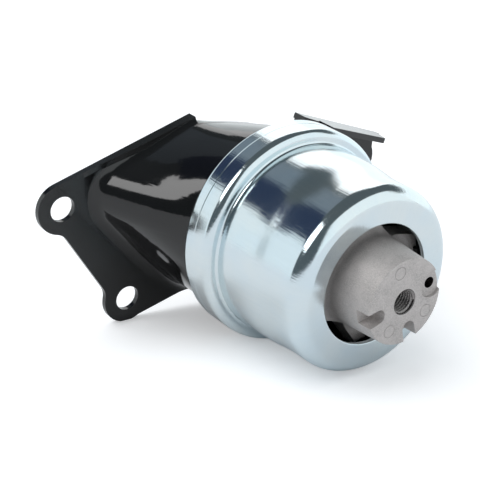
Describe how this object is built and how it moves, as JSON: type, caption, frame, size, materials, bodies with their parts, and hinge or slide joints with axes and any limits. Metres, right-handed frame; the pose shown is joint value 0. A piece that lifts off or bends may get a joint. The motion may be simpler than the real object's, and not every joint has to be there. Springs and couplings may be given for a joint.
{
  "type": "engine mount",
  "caption": "Hydraulic engine mount: plated can with a rubber-sprung cast core with a threaded face, crimped to a gloss black stamped bracket with bolt holes.",
  "frame": {"origin": "the can's axis where it meets the bracket's rear mounting face", "axes": "+Z along the can's axis from the bracket to the core's threaded face; +X along the bracket's length, to the side with the high flange; +Y to the bracket's roof side"},
  "size_m": [0.2143, 0.1171, 0.145],
  "materials": {
    "black_paint": "gloss",
    "zinc_plate": "plated, satin to bright",
    "cast_aluminium": "matte, as cast",
    "plate_aluminium": "satin",
    "raw_steel": "satin",
    "cup_paint": "satin",
    "rubber": "matte"
  },
  "bodies": {
    "root": {"bracket": "black_paint", "can": "zinc_plate", "core": "cast_aluminium", "main_spring": "rubber", "support_ring": "raw_steel", "rebound_buffer_1": "rubber", "rebound_buffer_2": "rubber", "upper_channel_plate": "plate_aluminium", "lower_channel_plate": "plate_aluminium", "decoupler": "rubber", "bellows_ring": "raw_steel", "bellows": "rubber", "bottom_cup": "cup_paint"}
  },
  "joints": []
}
